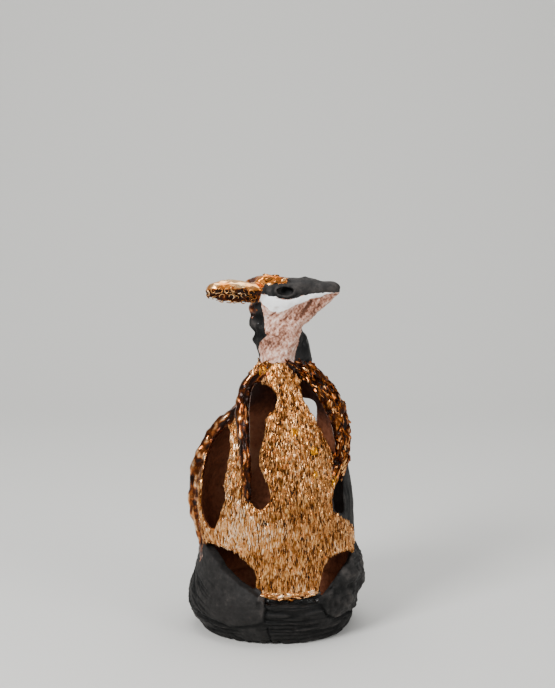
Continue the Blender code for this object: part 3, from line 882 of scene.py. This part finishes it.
# %% [markdown]
# ## Chips and ringlets
#
# The gouging tool left small raised chips between its cuts, and the lustre flashes on each of their
# facets. There are thousands, all alike and all following the surface, which is just what Geometry
# Nodes are for: scatter points, stand a chip on each, turn it along the cut and tip it a little. A chip
# is a flat plate with sloping sides. On the belly and the arm it is left unsmoothed, so that each facet
# catches the light by itself; on the lip and the crest it is smooth.

# %% A chip and a ringlet of clay


def chip_mesh():
    """A plate one unit long along Y, with its top slightly roofed and its foot in the clay."""
    outline = [(0.0, -0.5), (0.15, -0.28), (0.17, 0.2), (0.03, 0.5), (-0.14, 0.26), (-0.16, -0.24)]
    foot = [(1.25 * x, 1.1 * y, -0.16) for x, y in outline]
    edge = [(x, y, 0.035) for x, y in outline]
    roof = [(0.01, -0.2, 0.075), (-0.01, 0.22, 0.085)]
    faces = [(k, (k + 1) % 6, 6 + (k + 1) % 6, 6 + k) for k in range(6)]
    faces += [(6, 7, 12), (7, 8, 13, 12), (8, 9, 13), (9, 10, 13), (10, 11, 12, 13), (11, 6, 12)]
    faces += [(5, 4, 3, 2, 1, 0)]
    mesh = bpy.data.meshes.new("chip")
    mesh.from_pydata(foot + edge + roof, [], faces)
    mesh.update()
    return mesh


def ringlet_mesh(steps=10, sides=5):
    """An open curl of clay one unit across, with thin ends."""
    verts = []
    for i in range(steps):
        share = i / (steps - 1)
        angle = math.radians(300 * share)
        reach = 0.42 - 0.12 * share
        thick = 0.11 * math.sin(math.pi * min(max(share, 0.08), 0.92)) ** 0.5
        for k in range(sides):
            turn = 2 * math.pi * k / sides
            out = reach + thick * math.cos(turn)
            verts.append((out * math.cos(angle), out * math.sin(angle), 0.06 + thick * math.sin(turn)))
    faces = []
    for i in range(steps - 1):
        for k in range(sides):
            j = (k + 1) % sides
            faces.append((i * sides + j, i * sides + k, (i + 1) * sides + k, (i + 1) * sides + j))
    faces += [tuple(range(sides)), tuple((steps - 1) * sides + k for k in reversed(range(sides)))]
    mesh = bpy.data.meshes.new("ringlet")
    mesh.from_pydata(verts, [], faces)
    mesh.update()
    return mesh


def stamp(mesh):
    """An object that is only copied from, and never shown itself."""
    made = new_object(mesh.name, mesh)
    made.hide_render = True
    made.hide_viewport = True
    return made


chip = stamp(chip_mesh())
ringlet = stamp(ringlet_mesh())
print("a chip has", len(chip.data.polygons), "faces, a ringlet", len(ringlet.data.polygons))

# %% The tree that scatters them
DENSEST_PER_M2 = 300000.0
INPUTS = {
    "Spacing": "Float", "Shortest": "Float", "Longest": "Float", "Breadth": "Float", "Tilt": "Vector",
    "Seed": "Int", "Shape": "Object",
}


def scatter_tree(name, material, smooth):
    """Stands a shape on scattered points of a patch, along its line, each a little tilted and toned."""
    tree = bpy.data.node_groups.new(name, "GeometryNodeTree")
    tree.interface.new_socket("Geometry", in_out="INPUT", socket_type="NodeSocketGeometry")
    for label, kind in INPUTS.items():
        tree.interface.new_socket(label, in_out="INPUT", socket_type="NodeSocket" + kind)
    tree.interface.new_socket("Geometry", in_out="OUTPUT", socket_type="NodeSocketGeometry")
    given = add_node(tree, "NodeGroupInput").outputs
    seeds = [add_node(tree, "ShaderNodeMath", [given["Seed"], k], operation="ADD") for k in (1.0, 2.0)]
    density = {"Distance Min": given["Spacing"], "Density Max": DENSEST_PER_M2, "Seed": given["Seed"]}
    density["Mesh"] = given["Geometry"]
    kind = "GeometryNodeDistributePointsOnFaces"
    points = add_node(tree, kind, density, distribute_method="POISSON")
    line = add_node(tree, "GeometryNodeInputNamedAttribute", {"Name": "line"}, data_type="FLOAT_VECTOR")
    normal = {"Vector": points.outputs["Normal"]}
    stood = add_node(tree, "FunctionNodeAlignRotationToVector", normal, axis="Z")
    lay = {"Rotation": stood, "Vector": line}
    laid = add_node(tree, "FunctionNodeAlignRotationToVector", lay, axis="Y", pivot_axis="Z")
    least = add_node(tree, "ShaderNodeVectorMath", [given["Tilt"], -1.0], operation="SCALE")
    tilts = {"Min": least, "Max": given["Tilt"], "Seed": given["Seed"]}
    tilt = add_node(tree, "FunctionNodeRandomValue", tilts, data_type="FLOAT_VECTOR")
    tipped = add_node(tree, "FunctionNodeEulerToRotation", {"Euler": tilt})
    turns = {"Rotation": laid, "Rotate By": tipped}
    turned = add_node(tree, "FunctionNodeRotateRotation", turns, rotation_space="LOCAL")
    lengths = {"Min": given["Shortest"], "Max": given["Longest"], "Seed": seeds[0]}
    length = add_node(tree, "FunctionNodeRandomValue", lengths)
    across = add_node(tree, "ShaderNodeMath", [length, given["Breadth"]], operation="MULTIPLY")
    scale = add_node(tree, "ShaderNodeCombineXYZ", [across, length, length])
    shape = add_node(tree, "GeometryNodeObjectInfo", {"Object": given["Shape"]}).outputs["Geometry"]
    stamps = {"Points": points, "Instance": shape, "Rotation": turned, "Scale": scale}
    copies = add_node(tree, "GeometryNodeInstanceOnPoints", stamps)
    tone = add_node(tree, "FunctionNodeRandomValue", {"Seed": seeds[1]})
    tones = {"Geometry": copies, "Name": "tone", "Value": tone}
    toned = add_node(tree, "GeometryNodeStoreNamedAttribute", tones, data_type="FLOAT", domain="INSTANCE")
    real = add_node(tree, "GeometryNodeRealizeInstances", {"Geometry": toned})
    shaded = add_node(tree, "GeometryNodeSetShadeSmooth", {"Geometry": real, "Shade Smooth": smooth})
    painted = add_node(tree, "GeometryNodeSetMaterial", {"Geometry": shaded, "Material": material})
    add_node(tree, "NodeGroupOutput", {"Geometry": painted})
    return tree


# %% Patches of clay to scatter on


def patch_of(name, keep, line):
    """A copy of the clay's faces where keep is true at every corner, with the way its chips lie."""
    mesh = clay.data
    corners = np.empty(len(mesh.loops), dtype=np.int32)
    mesh.loops.foreach_get("vertex_index", corners)
    faces = corners.reshape(-1, 3)
    faces = faces[keep[faces].all(axis=1)]
    used = np.unique(faces)
    fresh = np.zeros(len(mesh.vertices), dtype=np.int64)
    fresh[used] = np.arange(len(used))
    made = bpy.data.meshes.new(name)
    made.from_pydata((here[used] / 1000).tolist(), [], fresh[faces].tolist())
    layer = made.attributes.new("line", "FLOAT_VECTOR", "POINT")
    layer.data.foreach_set("vector", np.ascontiguousarray(line[used], dtype=np.float32).ravel())
    store(made, "yellow", zones["yellow"][used])
    store(made, "paler", paler(here[used]))
    made.update()
    return new_object(name, made)


def scattered(name, keep, line, material, smooth=False, **inputs):
    """Runs the scatter on a patch and leaves one plain mesh."""
    patch = patch_of(name, keep, line)
    tree = scatter_tree(name, material, smooth)
    modifier = patch.modifiers.new(name, "NODES")
    modifier.node_group = tree
    for item in tree.interface.items_tree:
        if item.in_out == "INPUT" and item.name.lower() in inputs:
            modifier[item.identifier] = inputs[item.name.lower()]
    applied(patch)
    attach(patch, "root")
    print(name, "has", len(patch.data.polygons), "faces")
    return patch


def path_direction(points, path):
    """The direction of a path beside each point."""
    nearest = np.full(len(points), 1e9)
    way = np.zeros_like(points)
    for start, end in zip(np.array(path[:-1], float), np.array(path[1:], float)):
        away = np.linalg.norm(points - (start + end) / 2, axis=1)
        closer = away < nearest
        nearest[closer] = away[closer]
        way[closer] = (end - start) / np.linalg.norm(end - start)
    return way


# %% [markdown]
# ## Lustre on the chips
#
# The chips carry the thickest metal, so their lustre is brighter and smoother than that of the ground
# between them. Each has a tone of its own, over a colour that drifts from brown to pale gold within a
# centimetre or two, and all are painted lighter where light falls on the belly's lower left, as painted
# light.

# %% Lustres for the chips


def lustre(name, stops, size_mm, rough):
    """Metal film on glaze: fully metallic, fairly smooth, its colour drifting with the flame."""
    material, tree, shader = new_material(name)
    where = add_node(tree, "ShaderNodeTexCoord").outputs["Object"]
    marks = read_marks(tree, ("tone", "paler", "yellow"))
    drift = grain(tree, where, size_mm, 4, roughness=0.65)
    fine = grain(tree, where, 2.5, 3)
    tone = weighed(tree, 0.5, (drift, 0.9), (marks["tone"], 0.65), (fine, 0.65), (marks["paler"], 0.34, 0.0))
    colour = add_node(tree, "ShaderNodeValToRGB", [tone], stops)
    colour = spattered(tree, colour, marks, drift, 0.5, "D9961C")
    roughened = [fine, 0.3, 0.7, rough - 0.07, rough + 0.09]
    roughness = add_node(tree, "ShaderNodeMapRange", roughened, **SOFT)
    bump = add_node(tree, "ShaderNodeBump", {"Height": fine, "Distance": 0.0003, "Strength": 0.7})
    plug_in(tree, shader, {"Base Color": colour, "Roughness": roughness, "Normal": bump})
    shader.inputs["Metallic"].default_value = 1.0
    return material


gold_lustre = lustre(
    "gold_lustre",
    [(0.08, "3A1D0B"), (0.32, "8C5426"), (0.56, "C78A4E"), (0.82, "ECB57C"), (1.0, "FFE0BC")], 22, 0.28,
)
copper_lustre = lustre(
    "copper_lustre", [(0.1, "1C0A04"), (0.5, "5A2A0E"), (0.72, "A86028"), (0.97, "F6C48C")], 12, 0.2
)
amber_lustre = lustre(
    "amber_lustre", [(0.1, "6A3A18"), (0.4, "B4753A"), (0.65, "DDA468"), (0.9, "FBE0B8")], 12, 0.22
)
print("lustres:", gold_lustre.name, copper_lustre.name, amber_lustre.name)

# %% Gouged belly
upright = np.tile(np.array([0.0, 0.0, 1.0]), (len(here), 1))
on_belly = (zones["gold"] > 0.52) & (zones["black"] < 0.49) & (zones["inner"] < 0.42)
on_belly &= (zones["copper"] < 0.5) & (zones["bark"] < 0.5)
scattered(
    "belly_chips", on_belly, upright, gold_lustre,
    spacing=0.0026, shortest=0.0055, longest=0.012, breadth=0.56, tilt=(0.12, 0.5, 0.22), seed=5, shape=chip,
)

# %% The lip at the belly's foot and the creased arm
across = np.tile(np.array([1.0, 0.0, 0.0]), (len(here), 1))
from_middle = np.abs(angle_round(here) - LIP_DEG)
on_lip = (zones["copper"] > 0.5) & (here[:, 2] < LIP_Z + 9) & (from_middle < LIP_HALF_DEG + 1)
scattered(
    "lip_chips", on_lip & (zones["inner"] < 0.5), across, gold_lustre, smooth=True,
    spacing=0.0044, shortest=0.007, longest=0.015, breadth=1.0, tilt=(0.3, 0.4, 0.5), seed=12, shape=chip,
)
on_bark = (zones["bark"] > 0.53) & (zones["copper"] < 0.55) & (zones["inner"] < 0.5)
scattered(
    "bark_chips", on_bark, path_direction(here, ARM_FLAP), copper_lustre,
    spacing=0.0066, shortest=0.010, longest=0.018, breadth=0.5, tilt=(0.25, 0.6, 0.35), seed=9, shape=chip,
)

# %% [markdown]
# ## Fur inside the ear
#
# The hollow of the near ear is furred with little curls of clay, pressed on one by one. Each is an open
# ring with thin ends. They lie any way round, so their tilt is free about the normal. A few broad chips
# lie along the crest between the ears and the brow.

# %% Ringlets and crest
EAR_OPENS = np.array([0.0, -0.62, -0.78])
CREST_LINE = [(-40, 0, 560), (20, 0, 575)]
under_ear = (zones["near_ear"] > 0.56) & (facing @ EAR_OPENS > 0.25) & (here[:, 0] < -34)
scattered(
    "ear_ringlets", under_ear, upright, amber_lustre, smooth=True,
    spacing=0.0088, shortest=0.009, longest=0.013, breadth=1.0, tilt=(0.25, 0.25, 3.1), seed=3, shape=ringlet,
)
on_crest = (zones["amber"] > 0.53) & (here[:, 2] > 562) & (here[:, 0] > -17)
scattered(
    "crest_chips", on_crest, path_direction(here, CREST_LINE), amber_lustre, smooth=True,
    spacing=0.011, shortest=0.010, longest=0.017, breadth=1.3, tilt=(0.15, 0.2, 0.5), seed=4, shape=chip,
)

# %% [markdown]
# ## The room
#
# A sweep of pale paper stands behind the figure, curved where floor becomes wall, so that no corner
# shows. A soft lamp at the left front gives the long, gentle reflections that lustre needs, a weaker
# one at the right fills the shadows, and a third overhead keeps the paper pale.

# %% Paper sweep, lamps and camera
PAPER_GREY = "D2D1CD"
CAMERA_PLACE = (0.0008, -2.2919, 0.8454)
CAMERA_DOWN_DEG = 9.5
LENS_MM = 76.08


def paper_sweep():
    """A floor that curves up into a wall."""
    rows = [(y, 0.0) for y in np.linspace(-3.2, 1.6, 5)]
    rows += [(1.6 + 1.2 * math.sin(a), 1.2 - 1.2 * math.cos(a)) for a in np.linspace(0.1, math.pi / 2, 14)]
    rows += [(2.8, 2.4), (2.8, 4.5)]
    verts = [(x, y, z) for y, z in rows for x in (-5.0, 5.0)]
    faces = [(2 * k, 2 * k + 1, 2 * k + 3, 2 * k + 2) for k in range(len(rows) - 1)]
    mesh = bpy.data.meshes.new("paper_sweep")
    mesh.from_pydata(verts, [], faces)
    mesh.shade_smooth()
    # Matt paper: a pale ground with hardly any shine of its own
    material, _, shader = new_material("matt_paper")
    shader.inputs["Base Color"].default_value = linear(PAPER_GREY)
    shader.inputs["Roughness"].default_value = 0.9
    mesh.materials.append(material)
    return new_object("paper_sweep", mesh)


def lamp(name, place, target, size, power):
    """A soft rectangular lamp at a place, turned to a target."""
    data = bpy.data.lights.new(name, "AREA")
    data.shape = "RECTANGLE"
    data.size, data.size_y = size
    data.energy = power
    made = new_object(name, data)
    made.location = place
    made.rotation_euler = (Vector(target) - Vector(place)).to_track_quat("-Z", "Y").to_euler()


paper_sweep()
lamp("key_lamp", (-1.7, -1.9, 2.1), (0, 0, 0.3), (1.0, 1.2), 108)
lamp("fill_lamp", (2.2, -1.8, 1.6), (0, 0, 0.3), (1.2, 1.4), 34)
lamp("top_lamp", (0.0, 0.5, 3.0), (0, 0.5, 0.2), (2.6, 2.2), 68)
world = bpy.data.worlds.new("soft_room")
world.use_nodes = True
world.node_tree.nodes["Background"].inputs["Color"].default_value = linear("D8DADC")
world.node_tree.nodes["Background"].inputs["Strength"].default_value = 0.58
bpy.context.scene.world = world

camera_data = bpy.data.cameras.new("camera")
camera_data.lens = LENS_MM
camera_data.sensor_width = 36.0
camera = new_object("camera", camera_data)
camera.location = CAMERA_PLACE
camera.rotation_euler = (math.radians(90 - CAMERA_DOWN_DEG), 0, 0)
bpy.context.scene.camera = camera
print("camera stands", round(math.dist(CAMERA_PLACE, (0, 0, 0)), 2), "m away")
